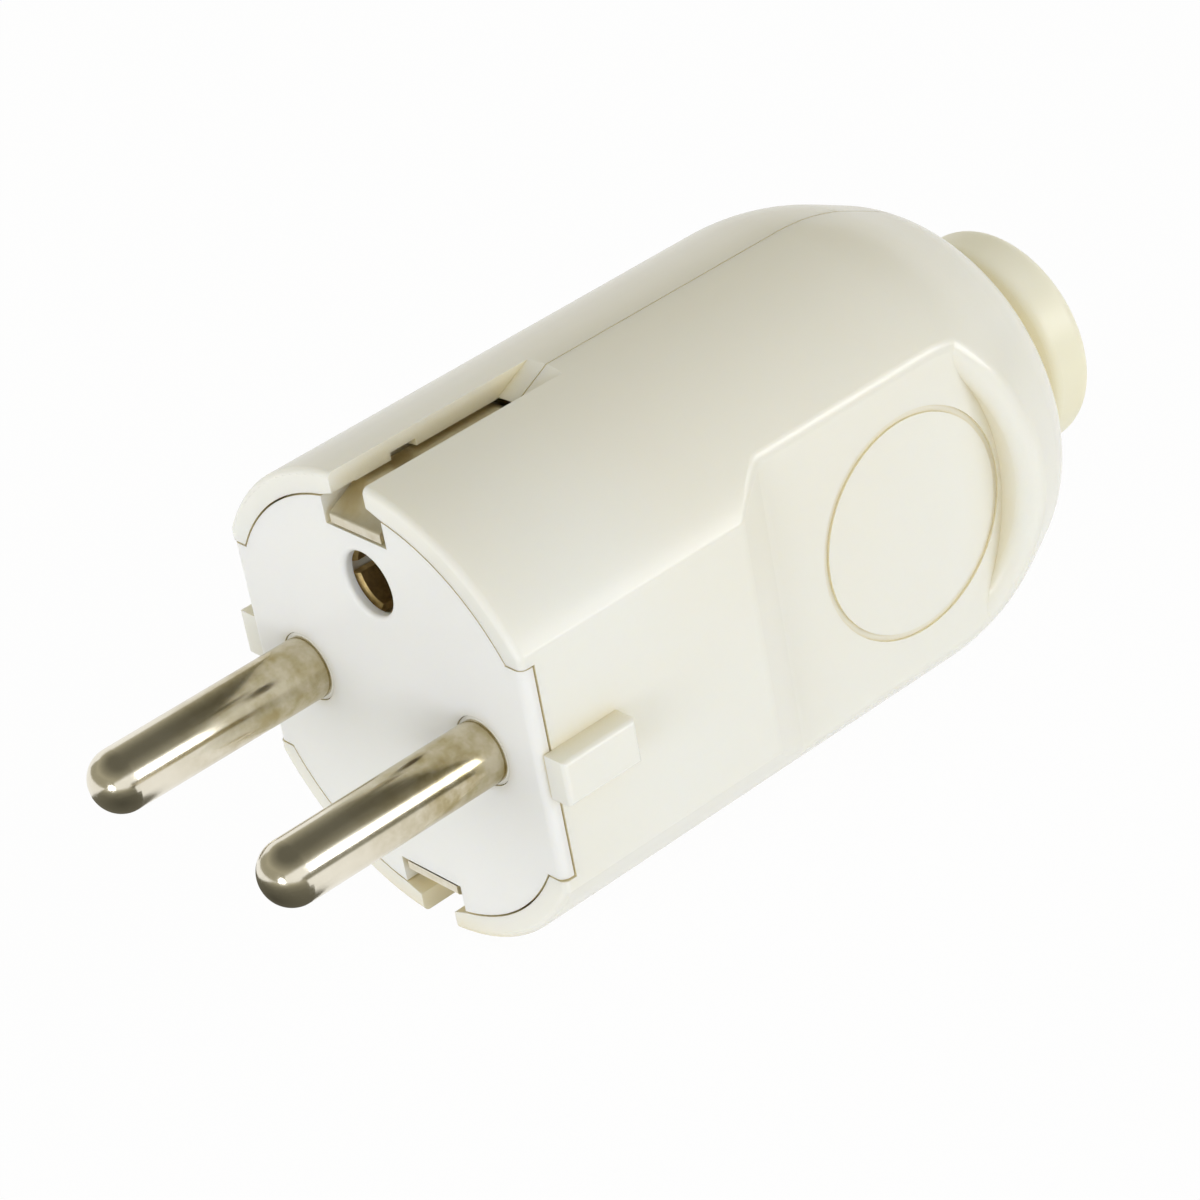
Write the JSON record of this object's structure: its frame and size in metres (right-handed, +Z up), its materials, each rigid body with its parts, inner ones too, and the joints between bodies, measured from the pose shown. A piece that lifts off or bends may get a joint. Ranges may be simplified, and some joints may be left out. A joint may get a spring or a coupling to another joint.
{
  "type": "mains plug",
  "caption": "Rewirable earthed mains plug with round pins, sprung side earth contacts, an earth socket and a two-part ivory housing.",
  "frame": {"origin": "on the engagement face, midway between the two pins", "axes": "-Y the way the pins point, +X along the row of pins towards the line pin, +Z up, towards the earth socket"},
  "size_m": [0.0354, 0.0813, 0.0366],
  "materials": {
    "ivory_shell": "glossy moulded",
    "white_insert": "moulded",
    "soft_collar": "soft satin",
    "plated_pins": "nickel plated",
    "strip_metal": "nickel plated strip",
    "brass": "turned",
    "screw_steel": "zinc plated",
    "clamp_plastic": "moulded"
  },
  "bodies": {
    "root": {"housing_right": "ivory_shell", "housing_left": "ivory_shell", "contact_carrier": "white_insert", "carrier_backplate": "white_insert", "line_pin": "plated_pins", "neutral_pin": "plated_pins", "earth_strip": "strip_metal", "earth_socket_sleeve": "brass", "earth_clamp_washer": "screw_steel", "line_terminal_screw": "screw_steel", "neutral_terminal_screw": "screw_steel", "earth_terminal_screw": "screw_steel", "carrier_screw": "screw_steel", "cord_clamp_bar": "clamp_plastic", "cord_clamp_screw_upper": "screw_steel", "cord_clamp_screw_lower": "screw_steel", "housing_screw_upper": "screw_steel", "housing_screw_lower": "screw_steel", "housing_insert_upper": "brass", "housing_insert_lower": "brass", "cord_grommet": "soft_collar"}
  },
  "joints": []
}
